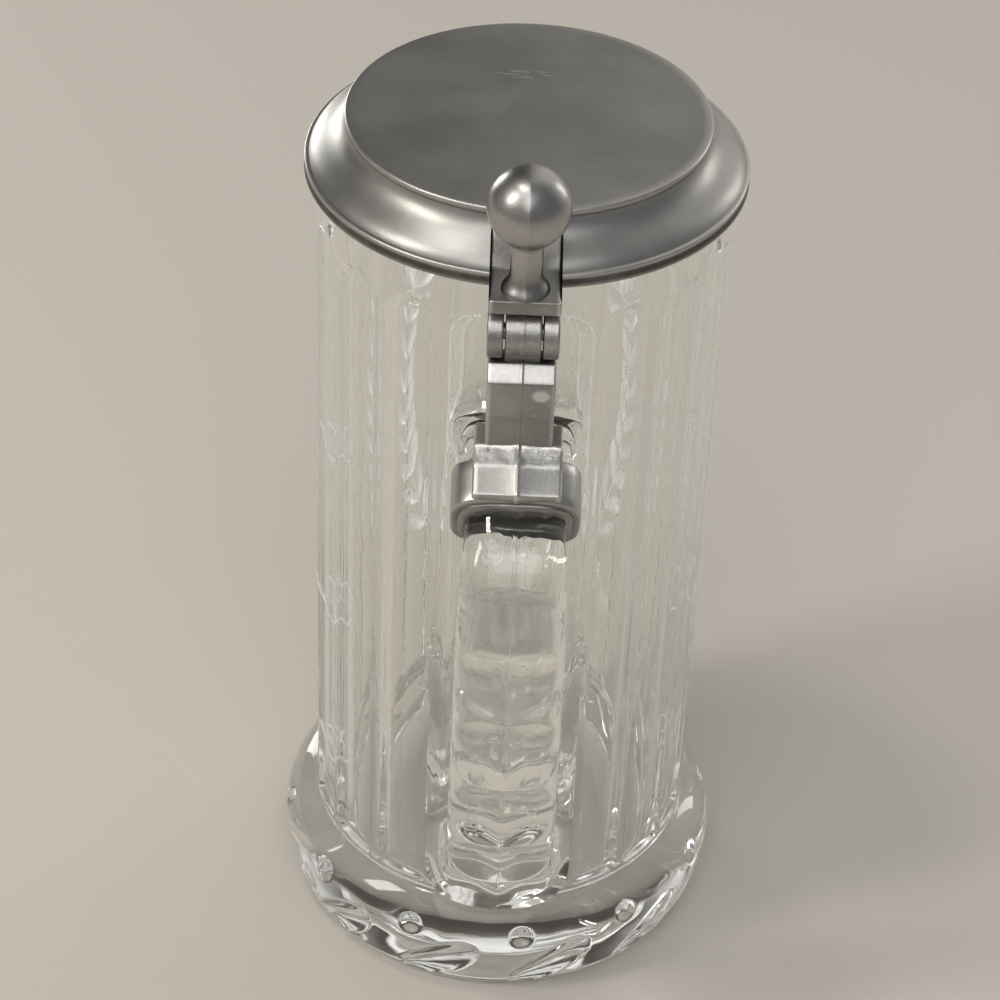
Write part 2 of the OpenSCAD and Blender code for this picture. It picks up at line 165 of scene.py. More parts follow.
def bezier_way(p, t):
    """Unit direction of that curve."""
    p, t = np.asarray(p, float), np.asarray(t, float)[:, None]
    d = (p[1] - p[0]) * (1 - t) ** 2 + (p[2] - p[1]) * 2 * t * (1 - t) + (p[3] - p[2]) * t ** 2
    return d / np.linalg.norm(d, axis=1, keepdims=True)


def rounded(corners, radius, count=5):
    """A closed outline whose corners are replaced by curves that start and end radius away from them."""
    p = np.asarray(corners, float)
    to_before, to_after = np.roll(p, 1, 0) - p, np.roll(p, -1, 0) - p
    len_b = np.linalg.norm(to_before, axis=1, keepdims=True)
    len_a = np.linalg.norm(to_after, axis=1, keepdims=True)
    r = np.minimum(radius, 0.45 * np.minimum(len_b, len_a))
    a, c = p + to_before / len_b * r, p + to_after / len_a * r
    t = np.linspace(0, 1, count)[None, :, None]
    curve = a[:, None] * (1 - t) ** 2 + p[:, None] * 2 * t * (1 - t) + c[:, None] * t ** 2
    return curve.reshape(-1, 2)


def refined(outline, gap):
    """The same closed outline, with points added along its sides so that none is farther apart than gap."""
    p = np.asarray(outline, float)
    side = np.roll(p, -1, 0) - p
    count = np.maximum(np.ceil(np.linalg.norm(side, axis=1) / gap).astype(int), 1)
    which = np.repeat(np.arange(len(p)), count)
    share = (np.arange(count.sum()) - np.repeat(np.cumsum(count) - count, count)) / count[which]
    return p[which] + side[which] * share[:, None]


def seam(x, ridge=0.0, bead=0.0):
    """Height of the mould's ridge at x: a peak that fades with distance, and a narrow bead on top of it."""
    peak = ridge * RIDGE_TILT * RIDGE_REACH * np.exp(-np.abs(x) / RIDGE_REACH)
    return peak + bead * np.exp(-(x / SEAM_W) ** 2)


# Places along X at which a casting has extra rows, so that its seam shows
SEAM_ROWS = np.array([-0.6, -0.4, -0.25, -0.12, 0.0, 0.12, 0.25, 0.4, 0.6])
CROSS_ROWS, ROUND_ROWS = 25, 4


def cross_places(x0, x1, edge):
    """Places along X from one end to the other, with quarter rounds at the ends and close rows at the seam,
    and how far the outline is drawn in at each."""
    a = np.linspace(0, np.pi / 2, ROUND_ROWS)
    even = np.linspace(x0 + edge, x1 - edge, CROSS_ROWS)[1:-1]
    at_seam = SEAM_ROWS[(SEAM_ROWS > x0 + edge) & (SEAM_ROWS < x1 - edge)]
    inner = np.unique(np.concatenate([even, at_seam]))
    in_x, in_outline = edge * (1 - np.cos(a)), edge * (1 - np.sin(a))
    x = np.concatenate([x0 + in_x, inner, (x1 - in_x)[::-1]])
    inset = np.concatenate([in_outline, np.zeros(len(inner)), in_outline[::-1]])
    return x, inset


def slab(outline, x0, x1, edge, ridge=0.0, bead=0.0):
    """An outline of [y, z] carried along X, drawn in by a quarter round at both ends, raised at the seam."""
    p = np.asarray(outline, float)
    way = np.roll(p, -1, 0) - np.roll(p, 1, 0)
    way /= np.linalg.norm(way, axis=1, keepdims=True) + 1e-9
    area = np.sum(p[:, 0] * np.roll(p[:, 1], -1) - np.roll(p[:, 0], -1) * p[:, 1])
    out = np.stack([way[:, 1], -way[:, 0]], -1) * np.sign(area)
    x, inset = cross_places(x0, x1, edge)
    ring = p[None] + out[None] * (seam(x, ridge, bead) - inset)[:, None, None]
    return np.concatenate([np.broadcast_to(x[:, None, None], ring.shape[:2] + (1,)), ring], -1)


def barrel(x0, x1, r, edge=0.35, around=72, bead=0.0):
    """A round bar along the hinge line with softened ends."""
    x, inset = cross_places(x0, x1, edge)
    profile = np.stack([r - inset + seam(x, 0.0, bead), x], -1)
    return along_x(turned(profile, ring_angles(around)), HINGE_Y, HINGE_Z)


EDGE_RUB = 0.45


def worn(grid, front, grime_and_painted_light):
    """Grime on the face that looks outwards at y = front, and rubbed metal along the two side edges."""
    mark = grime_and_painted_light * step(-grid[..., 1], -front - 0.7, -front - 0.1)
    mark[1:ROUND_ROWS] = -EDGE_RUB
    mark[-ROUND_ROWS:-1] = -EDGE_RUB
    return mark


# Shader maths and finishes

class Value:
    """A shader value. Python's operators on it add Math nodes."""

    def __init__(self, nodes, socket):
        self.nodes, self.socket = nodes, socket

    def math(self, operation, a, b):
        """One Math node."""
        return self.nodes.add("ShaderNodeMath", {"operation": operation}, {0: a, 1: b})

    def __add__(self, other):
        return self.math("ADD", self, other)

    def __sub__(self, other):
        return self.math("SUBTRACT", self, other)

    def __rsub__(self, other):
        return self.math("SUBTRACT", other, self)

    def __mul__(self, other):
        return self.math("MULTIPLY", self, other)

    def __truediv__(self, other):
        return self.math("DIVIDE", self, other)

    def __rtruediv__(self, other):
        return self.math("DIVIDE", other, self)

    def clip(self):
        """The value held between 0 and 1."""
        return self.nodes.add("ShaderNodeClamp", {}, {"Value": self})

    def between(self, low, high):
        """0 below low, 1 above high, smooth in between."""
        return self.nodes.add("ShaderNodeMapRange", {"interpolation_type": "SMOOTHSTEP"},
                              {"Value": self, "From Min": low, "From Max": high})

    __radd__ = __add__
    __rmul__ = __mul__


class Nodes:
    """A node tree."""

    def __init__(self, tree):
        self.tree = tree

    def add(self, kind, settings=None, inputs=None, out=0):
        """Any node: its settings first, then values or links for its sockets. Gives the output named."""
        node = self.tree.nodes.new(kind)
        for key, value in (settings or {}).items():
            setattr(node, key, value)
        for key, value in (inputs or {}).items():
            self.feed(node.inputs[key], value)
        return Value(self, node.outputs[out])

    def feed(self, socket, value):
        """Links a value to a socket, or sets a plain number or colour on it."""
        if isinstance(value, Value):
            self.tree.links.new(value.socket, socket)
        else:
            socket.default_value = value

    def mix(self, share, a, b):
        """Colour a where share is 0 and colour b where it is 1."""
        return self.add("ShaderNodeMix", {"data_type": "RGBA"}, {0: share, 6: a, 7: b}, out=2)

    def axis(self, vector, name):
        """One coordinate of a vector."""
        return self.add("ShaderNodeSeparateXYZ", {}, {0: vector}, out=name)


class Finish(Nodes):
    """A material with one Principled shader and the nodes that feed it."""

    def __init__(self, name):
        self.material = bpy.data.materials.new(name)
        self.material.use_nodes = True
        super().__init__(self.material.node_tree)
        self.shader = self.tree.nodes["Principled BSDF"]
        self.place = self.add("ShaderNodeTexCoord", out="Object")

    def set(self, **sockets):
        """Values or links for the shader's own sockets, with spaces written as underscores."""
        for key, value in sockets.items():
            self.feed(self.shader.inputs[key.replace("_", " ")], value)

    def noise(self, scale, detail=3.0, rough=0.5, stretch=None, turn=0.0):
        """Cloudy values from 0 to 1; scale is in spots per metre, and stretch scales each axis."""
        place = self.place
        if stretch:
            place = self.add("ShaderNodeMapping", {},
                             {"Vector": place, "Scale": stretch, "Rotation": (0, 0, turn)})
        return self.add("ShaderNodeTexNoise", {},
                        {"Vector": place, "Scale": scale, "Detail": detail, "Roughness": rough})

    def attribute(self, name):
        """A mark that the piece's points carry."""
        return self.add("ShaderNodeAttribute", {"attribute_name": name}, out="Fac")

    def bump(self, height, strength, distance):
        """A normal from a height; distance is the height of 1 in metres."""
        return self.add("ShaderNodeBump", {},
                        {"Height": height, "Strength": strength, "Distance": distance})


# Rubbed metal, which also serves for painted highlights, tarnish, which also serves for painted shade, the
# heights between which the scuff on the lid's top fades in, and the skin's height
BRIGHT = (0.66, 0.65, 0.63, 1)
TARNISH_AND_SHADE = (0.085, 0.076, 0.068, 1)
SCUFF_FROM_Z, SCUFF_FULL_Z = 0.1872, 0.1878
SKIN_HEIGHT = 0.0001


def pewter(name, light, dark, roughness, grain, scratch, cast, scuff=None):
    """Pewter: two greys in soft clouds, tarnish and painted shade, and rubbed places and painted highlights,
    where a piece is marked, fine grain, cast pits with bright tips, short scratches, and on top the strokes of
    a scuff inside an oval, given as its middle x and y and its half sizes."""
    f = Finish(name)
    clouds = f.noise(38, 5.0, 0.6)
    blots = f.noise(160, 4.0, 0.6)
    fine = f.noise(2600, 3.0, 0.6)
    pits = f.noise(1100, 4.0, 0.65)
    marks = f.noise(420, 2.0, 0.5, stretch=(6.0, 0.35, 1.0), turn=0.6)
    cross = f.noise(380, 2.0, 0.5, stretch=(0.4, 6.0, 1.0), turn=-0.3)
    where = f.noise(60, 2.0, 0.5).between(0.5, 0.7)
    lines = (marks.between(0.70, 0.76) + cross.between(0.71, 0.77)) * where * scratch
    if scuff:
        x, y = f.axis(f.place, "X"), f.axis(f.place, "Y")
        x, y = (x - scuff[0]) / scuff[2], (y - scuff[1]) / scuff[3]
        on_top = f.axis(f.place, "Z").between(SCUFF_FROM_Z, SCUFF_FULL_Z)
        inside = (1 - x * x - y * y).between(0.0, 0.5) * on_top
        strokes = f.noise(420, 2.0, 0.5, stretch=(0.7, 3.0, 1.0), turn=0.3).between(0.53, 0.6)
        lines = lines + inside * strokes * 1.6
    grime_and_painted_light, rough = f.attribute("grime_and_painted_light"), f.attribute("rough")
    # Above 0 the mark darkens to tarnish, which in places is painted shade; below 0 it brightens to rubbed
    # metal, which in places is a painted highlight.
    tarnish_and_shade = (grime_and_painted_light * (blots * 1.2 + 0.4)).clip()
    rubbed_and_highlight = (grime_and_painted_light * (blots * -1.2 - 0.4)).clip()
    tips = pits.between(0.52, 0.66) * rough * 0.7
    tone = f.mix(clouds.between(0.35, 0.68), dark, light)
    tone = f.mix((lines * 0.45 + rubbed_and_highlight + tips).clip(), tone, BRIGHT)
    tone = f.mix(tarnish_and_shade * 0.9, tone, TARNISH_AND_SHADE)
    f.set(Base_Color=tone, Metallic=1.0,
          Roughness=(clouds * 0.12 + fine * 0.08 + tarnish_and_shade * 0.2 + (roughness - 0.1)).clip())
    height = fine * (0.3 * grain) + pits * (rough * 2.0 + 0.7) * cast - lines * 0.3
    f.set(Normal=f.bump(height, 0.5, SKIN_HEIGHT))
    return f.material


def glass(name):
    """Clear pressed glass with a faint warm green tint and slow ripples."""
    f = Finish(name)
    ripple = f.noise(70, 2.0, 0.4)
    f.set(Base_Color=(0.985, 0.99, 0.975, 1), Transmission_Weight=1.0, IOR=1.5, Roughness=0.01,
          Normal=f.bump(ripple, 0.06, 0.002))
    return f.material


def frosted(name):
    """Engraved glass: matt white, with the grain that the engraver's wheel leaves, and a faint painted glow
    that keeps it pale inside the glass.
    """
    f = Finish(name)
    grain = f.noise(1800, 3.0, 0.6)
    tone = f.mix(grain.between(0.3, 0.7), (0.74, 0.74, 0.72, 1), (0.92, 0.92, 0.90, 1))
    f.set(Base_Color=tone, Roughness=grain * 0.3 + 0.4, Transmission_Weight=0.85)
    # The emission is a painted glow, standing in for light scattered by the frosted lines.
    f.set(Emission_Color=(1.0, 1.0, 0.97, 1), Emission_Strength=0.15, Normal=f.bump(grain, 0.4, SKIN_HEIGHT))
    return f.material


PALE_GREY = (0.46, 0.452, 0.44, 1)
LID_PEWTER = pewter("lid_pewter", (0.46, 0.452, 0.435, 1), (0.36, 0.355, 0.345, 1), roughness=0.38,
                    grain=1.0, scratch=0.6, cast=0.1, scuff=(-0.001, 0.0135, 0.0065, 0.0022))
CAST_PEWTER = pewter("cast_pewter", PALE_GREY, (0.33, 0.325, 0.32, 1), roughness=0.36,
                     grain=0.6, scratch=0.6, cast=0.6)
HANDLED_PEWTER = pewter("handled_pewter", PALE_GREY, (0.35, 0.345, 0.34, 1), roughness=0.31,
                        grain=0.5, scratch=0.8, cast=0.4)
CLEAR_GLASS = glass("clear_glass")
FROSTED_GLASS = frosted("frosted_glass")

# Glass body

foot_low = ((FOOT_R - FOOT_BASE) ** 2 + FOOT_BULGE_Z ** 2) / (2 * (FOOT_R - FOOT_BASE))
foot_round_c = FOOT_R - FOOT_ROUND
foot_top = FOOT_BULGE_Z + math.sqrt(FOOT_ROUND ** 2 - (BODY_R - foot_round_c) ** 2)
flute_half = math.pi * BODY_R / FLUTES - FLUTE_LAND / 2
flute_spring = FLUTE_TOP - flute_half
flute_low = foot_top + FLUTE_LOW_BAND
arm_z = GLASS_H - HANDLE_DROP
# Zones of plain wall round the handle's roots: height of the middle, half width and half height
ROOT_ZONES = ((arm_z, 12.5, 10.5), (HANDLE_LOW_Z + 2.2, 15.5, 14.0))
ROOT_POWER = 2.6
# Columns round the glass, rows of the foot below and above its bulge, how much of a foot cut's depth is kept,
# height of the foot's toe and round of the rim
GLASS_COLUMNS, FOOT_LOW_ROWS, FOOT_HIGH_ROWS = 504, 26, 27
CUT_KEPT, TOE_Z, RIM_R = 0.92, 0.9, 1.3


def foot_radius(z):
    """Radius of the foot: a small round above the bulge and a large one below it."""
    up = foot_round_c + np.sqrt(np.maximum(FOOT_ROUND ** 2 - (z - FOOT_BULGE_Z) ** 2, 0))
    low = FOOT_R - foot_low + np.sqrt(np.maximum(foot_low ** 2 - (z - FOOT_BULGE_Z) ** 2, 0))
    return np.where(z > FOOT_BULGE_Z, up, low)


def foot_slope(z):
    """Angle of the foot's outward normal above the horizontal."""
    return np.arcsin(np.clip((z - FOOT_BULGE_Z) / np.where(z > FOOT_BULGE_Z, FOOT_ROUND, foot_low), -1, 1))


def flute_radius(angle, z):
    """Radius of the fluted wall. Inside a flute's arched outline the wall drops over a soft edge and then
    sinks slowly to the flute's middle; round the handle's roots it stays plain."""
    pitch = 2 * np.pi / FLUTES
    x = (np.mod(angle, pitch) - pitch / 2) * BODY_R
    inward = flute_half - np.hypot(x, np.maximum(z - flute_spring, 0))
    hollow = 1 - (1 - np.clip(inward / flute_half, 0, 1)) ** 2
    depth = FLUTE_EDGE_DEPTH * step(inward, -0.15, FLUTE_EDGE) + FLUTE_HOLLOW * hollow
    depth = depth * step(z, flute_low - 0.9, flute_low + 0.9)
    x, near = BODY_R * np.sin(angle), np.cos(angle) > 0
    for root_z, half_w, half_h in ROOT_ZONES:
        reach = np.abs(x / half_w) ** ROOT_POWER + np.abs((z - root_z) / half_h) ** ROOT_POWER
        depth = np.where(near, depth * step(reach, 0.65, 1.15), depth)
    return BODY_R - depth


def foot_cut(angle, r, z):
    """How deep a point of the foot lies inside the nearest ball cut or leaf cut: the cutter's radius less
    the distance from the ball's centre, or from the leaning and tucked axis of the leaf's wheel."""
    pitch = 2 * np.pi / FOOT_CUTS

    def from_cutter(phase, z0, cut_r, cut_depth):
        """Points as seen from the middle of the nearest cutter, which stands off along the foot's normal."""
        off = np.mod(angle - math.radians(phase) + pitch / 2, pitch) - pitch / 2
        slope, lift = float(foot_slope(np.array(z0))), cut_r - cut_depth
        out = float(foot_radius(np.array(z0))) + lift * math.cos(slope)
        up = z - z0 - lift * math.sin(slope) + 0 * off
        return np.stack([r * np.sin(off), r * np.cos(off) - out, up], -1)

    ball = BALL_CUT_R - np.linalg.norm(from_cutter(BALL_PHASE, BALL_Z, BALL_CUT_R, BALL_CUT_DEPTH), axis=-1)
    lean, tuck = math.radians(LEAF_LEAN), math.radians(LEAF_TUCK)
    axis = np.array([math.cos(lean), math.sin(lean) * math.sin(tuck), math.sin(lean) * math.cos(tuck)])
    away = from_cutter(BALL_PHASE + LEAF_PHASE, LEAF_Z, LEAF_CUT_R, LEAF_CUT_DEPTH)
    leaf = LEAF_CUT_R - np.linalg.norm(away - (away @ axis)[..., None] * axis, axis=-1)
    return np.maximum(np.maximum(ball, leaf), 0)


def wall_heights():
    """Heights of the wall's rows, close together at the flutes' ends and at the handle's two roots."""
    return np.concatenate([
        foot_top + np.array([0.15, 0.6, 1.1]),
        np.linspace(flute_low - 0.6, flute_low + 1.2, 6),
        np.linspace(flute_low + 3, 51, 11),
        np.linspace(60, 125, 4),
        np.linspace(131, 156, 11),
        np.linspace(158.5, FLUTE_TOP + 0.6, 21),
        [173.0, 176.6]])


def glass_body_grid():
    """Rows from the middle of the base, round the foot, up the wall, over the rim and down to the floor
    inside."""
    base = np.array([[0.4, 1.0], [20, 1.0], [37, 0.9], [38.5, 0.35], [39.4, 0.0], [42.0, 0.0]])
    toe_r = float(foot_radius(np.array(TOE_Z)))
    toe = bezier([[42.0, 0], [43.2, 0], [toe_r - 0.15, 0.3], [toe_r, TOE_Z]], np.linspace(0.25, 0.85, 4))
    low_z = np.linspace(TOE_Z, FOOT_BULGE_Z, FOOT_LOW_ROWS)
    turn = np.linspace(0, math.acos((BODY_R + 0.35 - foot_round_c) / FOOT_ROUND), FOOT_HIGH_ROWS)[1:]
    foot_z = np.concatenate([low_z, FOOT_BULGE_Z + FOOT_ROUND * np.sin(turn)])
    wall_z = wall_heights()
    rim = np.concatenate([arc((BODY_R - RIM_R, GLASS_H - RIM_R), RIM_R, 10, 90, 5),
                          arc((INNER_R + RIM_R, GLASS_H - RIM_R), RIM_R, 90, 170, 5)])
    inside_z = np.array([175.0, 100.0, FLOOR_H + FLOOR_CORNER])
    inside = np.stack([np.full(inside_z.shape, INNER_R), inside_z], -1)
    corner = arc((INNER_R - FLOOR_CORNER, FLOOR_H + FLOOR_CORNER), FLOOR_CORNER, -8, -90, 9)
    floor = np.array([[20, FLOOR_H - 0.15], [8, FLOOR_H - 0.25], [0.4, FLOOR_H - 0.3]])
    angle = ring_angles(GLASS_COLUMNS)[None, :]
    foot_r0, slope = foot_radius(foot_z)[:, None], foot_slope(foot_z)[:, None]
    cut = foot_cut(angle, foot_r0, foot_z[:, None]) * CUT_KEPT
    foot = np.stack([foot_r0 - cut * np.cos(slope), foot_z[:, None] - cut * np.sin(slope)], -1)
    wall = np.stack([flute_radius(angle, wall_z[:, None]), wall_z[:, None] + 0 * angle], -1)

    def plain(rows):
        """The same rows at every angle."""
        return np.broadcast_to(rows[:, None, :], (len(rows), angle.shape[1], 2))

    rows = [plain(base), plain(toe), foot, wall, plain(rim), plain(inside), plain(corner), plain(floor)]
    r, z = np.moveaxis(np.concatenate(rows), -1, 0)
    return np.stack([r * np.sin(angle), -r * np.cos(angle), z], -1)


# Glass handle

arm_way = np.array([-math.cos(math.radians(ARM_FALL)), -math.sin(math.radians(ARM_FALL))])
arm_out = np.array([arm_way[1], -arm_way[0]])
arm_wall = np.array([-BODY_R, arm_z])
arm_end = arm_wall + arm_way * ARM_LENGTH
bend_c = arm_end - arm_out * BEND_R
grip_start = np.array([bend_c[0] - BEND_R, bend_c[1]])
low_root = np.array([-BODY_R + ROOT_DEPTH, HANDLE_LOW_Z])
low_turn = math.radians(LOW_FALL)
grip_curve = np.array([grip_start, grip_start - [0, GRIP_PULL],
                       low_root + LOW_PULL * np.array([-math.cos(low_turn), math.sin(low_turn)]), low_root])
# Angles round a quarter of the handle's section, closer together where its curve is flat
QUARTER = np.array([0, 0.25, 0.8, 1.8, 3.5, 6, 9.5, 14, 20, 27, 35, 40, 45, 50, 55, 59, 63, 67, 70, 73, 76,
                    80.5, 84, 86.5, 88.2, 89.22, 89.76, 89.926])
SECTION = np.sort(np.radians(np.concatenate([QUARTER, 180 - QUARTER[:0:-1], [90],
                                             180 + QUARTER, 360 - QUARTER[:0:-1], [270]])))
# Thumb hollows: powers along and across the grip, half width, and the low rib that parts each into two lobes
HOLLOW_ALONG, HOLLOW_ACROSS, HOLLOW_HALF, LOBE_RIB, LOBE_RIB_HALF = 1.9, 3.2, 1.02, 0.5, 0.32
CROWN_POWER, GRIP_BEAD = 1.4, 1.5 * SEAM_H
# Flare of the handle into the wall, and how far out it reaches, at the arm and at the lower root
ARM_FLARE, ARM_FLARE_REACH, LOW_FLARE, LOW_FLARE_REACH = 2.8, 2.8, 4.0, 3.2


def handle_line(t):
    """Middle line of the handle and its outward direction: the arm up to 1, the bend up to 2 and the grip
    up to 3."""
    t = np.asarray(t, float)
    arm = arm_wall - arm_way * ROOT_DEPTH + np.clip(t, 0, 1)[:, None] * arm_way * (ROOT_DEPTH + ARM_LENGTH)
    a = np.radians(ARM_FALL + np.clip(t - 1, 0, 1) * (90 - ARM_FALL))
    bend_out = np.stack([-np.sin(a), np.cos(a)], -1)
    g = np.clip(t - 2, 0, 1)
    way = bezier_way(grip_curve, g)
    grip_out = np.stack([way[:, 1], -way[:, 0]], -1)
    on_arm, on_bend = (t <= 1)[:, None], (t <= 2)[:, None]
    point = np.where(on_arm, arm, np.where(on_bend, bend_c + BEND_R * bend_out, bezier(grip_curve, g)))
    return point, np.where(on_bend, bend_out, grip_out)


def handle_section(t, grow):
    """Rounded rectangle |x|^p + |v|^p = 1; the grip's outer side is crowned, and has a fine seam down its
    middle and thumb hollows in a row that meet in narrow ridges."""
    a = SECTION[None, :]
    t = np.asarray(t, float)[:, None]
    x = np.sign(np.cos(a)) * np.abs(np.cos(a)) ** (2 / HANDLE_POWER)
    v = np.sign(np.sin(a)) * np.abs(np.sin(a)) ** (2 / HANDLE_POWER)
    half = (HANDLE_TOP_W + (HANDLE_LOW_W - HANDLE_TOP_W) * np.maximum(t - 1, 0) / 2) / 2
    g = np.clip((t - 2) / SCALLOP_END, 0, 1)
    k = SCALLOPS * g ** SCALLOP_SPREAD
    f = k - np.floor(k)
    hollow = 1 - np.abs(2 * f - 1) ** HOLLOW_ALONG - np.abs(x / HOLLOW_HALF) ** HOLLOW_ACROSS
    hollow = np.maximum(hollow, 0) * (g > 0) * (g < 1)
    hollow = hollow * (1 - LOBE_RIB * np.exp(-(x / LOBE_RIB_HALF) ** 2))
    crown = HANDLE_CROWN * np.clip(t - 1, 0, 1) * (1 - np.abs(x) ** CROWN_POWER)
    bead = GRIP_BEAD * np.exp(-(x * half / SEAM_W) ** 2) * step(t, 1.0, 1.2)
    rise = np.where(v > 0.05, (crown + bead - SCALLOP_DEPTH * hollow) * np.clip(v, 0, 1), 0)
    return x * (half + grow), v * (HANDLE_D / 2 + grow) + rise


def handle_grid(t, grow=0.0):
    """The section carried along the middle line; grow is a number, or one for each place."""
    point, out = handle_line(t)
    x, v = handle_section(t, np.broadcast_to(np.asarray(grow, float), np.shape(t))[:, None])
    return np.stack([x, point[:, :1] + out[:, :1] * v, point[:, 1:] + out[:, 1:] * v], -1)


def arm_place(distance):
    """Place on the arm at a distance from the wall."""
    return (ROOT_DEPTH + np.asarray(distance, float)) / (ROOT_DEPTH + ARM_LENGTH)


def arm_edge(distance, lift):
    """Point [y, z] above the arm's outer side at a distance from the wall."""
    return arm_wall + arm_way * distance + arm_out * (HANDLE_D / 2 + lift)


def glass_handle_grid():
    """The whole handle, which flares where it runs into the wall."""
    t = np.concatenate([arm_place(np.linspace(-3, 8, 18)), np.linspace(float(arm_place(9.5)), 1, 6),
                        np.linspace(1, 2, 28)[1:], 2 + np.linspace(0, 1, 150)[1:]])
    clear = np.maximum(-handle_line(t)[0][:, 0] - BODY_R, 0)
    at_arm = np.where(t < 1, ARM_FLARE * np.exp(-clear / ARM_FLARE_REACH), 0)
    at_low_root = np.where(t > 2, LOW_FLARE * np.exp(-clear / LOW_FLARE_REACH), 0)
    return handle_grid(t, at_arm + at_low_root)


def united(name, first, second):
    """One closed skin round two solids that run into each other."""
    a, b = Piece().add(first).make(name), Piece().add(second).make(name + "_part")
    join = a.modifiers.new("union", "BOOLEAN")
    join.operation, join.solver, join.object = "UNION", "MANIFOLD", b
    bpy.context.view_layer.update()
    mesh = bpy.data.meshes.new_from_object(a.evaluated_get(bpy.context.evaluated_depsgraph_get()))
    a.modifiers.clear()
    a.data = mesh
    mesh.name = name
    mesh.shade_smooth()
    bpy.data.objects.remove(b)
    return a


stein_glass = united("stein_glass", glass_body_grid(), glass_handle_grid())
settle(stein_glass, "mug", CLEAR_GLASS, ("glass_body", "glass_handle"))

# Engraved wreath on the wall opposite the handle

ENGRAVED_DEPTH, ENGRAVED_RISE = 0.05, 0.04
# The wreath's stems: lowest point, height, half gap between them and how far they bow out
WREATH_Z, WREATH_H, WREATH_GAP, WREATH_BOW = 58, 96, 5, 27
# Leaves: length of the lowest and how it falls with each place, width to length, lean and bend
LEAF_LENGTH, LEAF_FALL, LEAF_WIDE, LEAF_AIM, LEAF_BEND = 13.0, 0.07, 0.36, 0.75, 0.22
# Curls at the two sides: distance round the wall, its shift, and the height and radius of each
CURL_SIDE, CURL_SHIFT, SIDE_CURLS = 71, 7, ((42.0, 6.5), (82.0, 8.0), (122.0, 6.0))


def stroke(along, z, width):
    """An engraved line: a flat four-sided section, width wide, carried along a path on the wall. The path
    is the distance round the wall from the place opposite the handle, and the height."""
    path = np.stack([along, z], -1)
    way = np.gradient(path, axis=0)
    way /= np.linalg.norm(way, axis=1, keepdims=True)
    side = np.stack([-way[:, 1], way[:, 0]], -1) * np.asarray(width)[:, None] / 2
    edges = np.stack([path - side, path + side, path + side, path - side], 1)
    angle = np.pi + edges[..., 0] / BODY_R
    r = flute_radius(angle, edges[..., 1]) + np.array([-ENGRAVED_DEPTH] * 2 + [ENGRAVED_RISE] * 2)
    return np.stack([r * np.sin(angle), -r * np.cos(angle), edges[..., 1]], -1)


def leaf(place, lean, length, width, bend):
    """A leaf whose middle line bends to one side; it is widest in the middle and ends in points."""
    s = np.linspace(0, 1, 14)
    way, across = np.array([math.cos(lean), math.sin(lean)]), np.array([-math.sin(lean), math.cos(lean)])
    path = place + length * (s[:, None] * way + bend * (s * s)[:, None] * across)
    return stroke(path[:, 0], path[:, 1], width * np.sin(np.pi * s) ** 0.8 + 0.08)


def curl(place, radius, start, turns, width):
    """A tendril that winds inwards: its radius shrinks as its angle grows."""
    s = np.linspace(0, 1, 48)
    a = start + turns * 2 * np.pi * s
    r = radius * (1 - 0.82 * s)
    return stroke(place[0] + r * np.cos(a), place[1] + r * np.sin(a), width * (1 - 0.5 * s) + 0.1)


engraving = Piece()
for hand in (-1, 1):
    s = np.linspace(0, 1, 60)
    bow = WREATH_GAP + WREATH_BOW * np.sin(np.pi * (0.08 + 0.84 * s))
    stem = np.stack([hand * bow, WREATH_Z + WREATH_H * s], -1)
    engraving.add(stroke(stem[:, 0], stem[:, 1], 0.9 - 0.5 * s))
    for i in range(4, 58, 5):
        way = stem[i + 1] - stem[i]
        aim = math.atan2(way[1], way[0])
        size = LEAF_LENGTH - LEAF_FALL * i
        for hand_side in (-1, 1):
            engraving.add(leaf(stem[i], aim + hand_side * LEAF_AIM, size, LEAF_WIDE * size,
                               -LEAF_BEND * hand_side))
    engraving.add(curl((hand * 11, 50.0), 6.5, math.pi / 2, -hand * 1.4, 0.6))
    for z, radius in SIDE_CURLS:
        place = (CURL_SIDE * hand + CURL_SHIFT, z)
        engraving.add(curl(place, radius, math.pi / 2 * (1 + hand), hand * 1.3, 0.8))
engraving.make("wheel_engraving", "mug", FROSTED_GLASS, (), "glass")

# Pewter collar, shank and hinge

# The collar's section: distance along the arm and height against its wall, with the grime of each place
collar = np.array([[0.0, -0.55], [0.16, -0.16], [0.55, 0], [2.5, 0], [4.5, 0.05], [6.5, 0], [8.45, 0],
                   [8.84, -0.16], [9.0, -0.55], [9.0, -2.6], [0.0, -2.6]])
collar_grime = np.array([0.2, -0.4, -0.4, -0.3, -0.3, -0.3, -0.4, -0.4, 0.2, 0.8, 0.5])[:, None]
collar_grid = handle_grid(arm_place(COLLAR_FROM + collar[:, 0]), COLLAR_WALL + collar[:, 1])
Piece().add(collar_grid, True, collar_grime, 0.25).make(
    "collar_band", "mug", CAST_PEWTER, ("handle_collar",), "pewter", sharp=50)

# Filler that seals the collar's lower opening; its edge on the glass is wavy
collar_end = COLLAR_FROM + COLLAR_LENGTH
filler_places = collar_end + np.array([-1.0, -0.05, 0.35, 0.5])
filler_grid = handle_grid(arm_place(filler_places), [0.05, 1.5, 1.1, 0.06])
filler_x = filler_grid[3, :, 0]
wave = 0.9 + 0.35 * np.sin(0.5 * filler_x + 0.6)
wave += 0.25 * np.sin(1.1 * filler_x + 2.0) + 0.15 * np.sin(2.6 * filler_x)
filler_grid[3, :, 1:] += wave[:, None] * arm_way
Piece().add(filler_grid, True, 0.25, 0.8).make("collar_filler", "mug", CAST_PEWTER, (), "pewter")

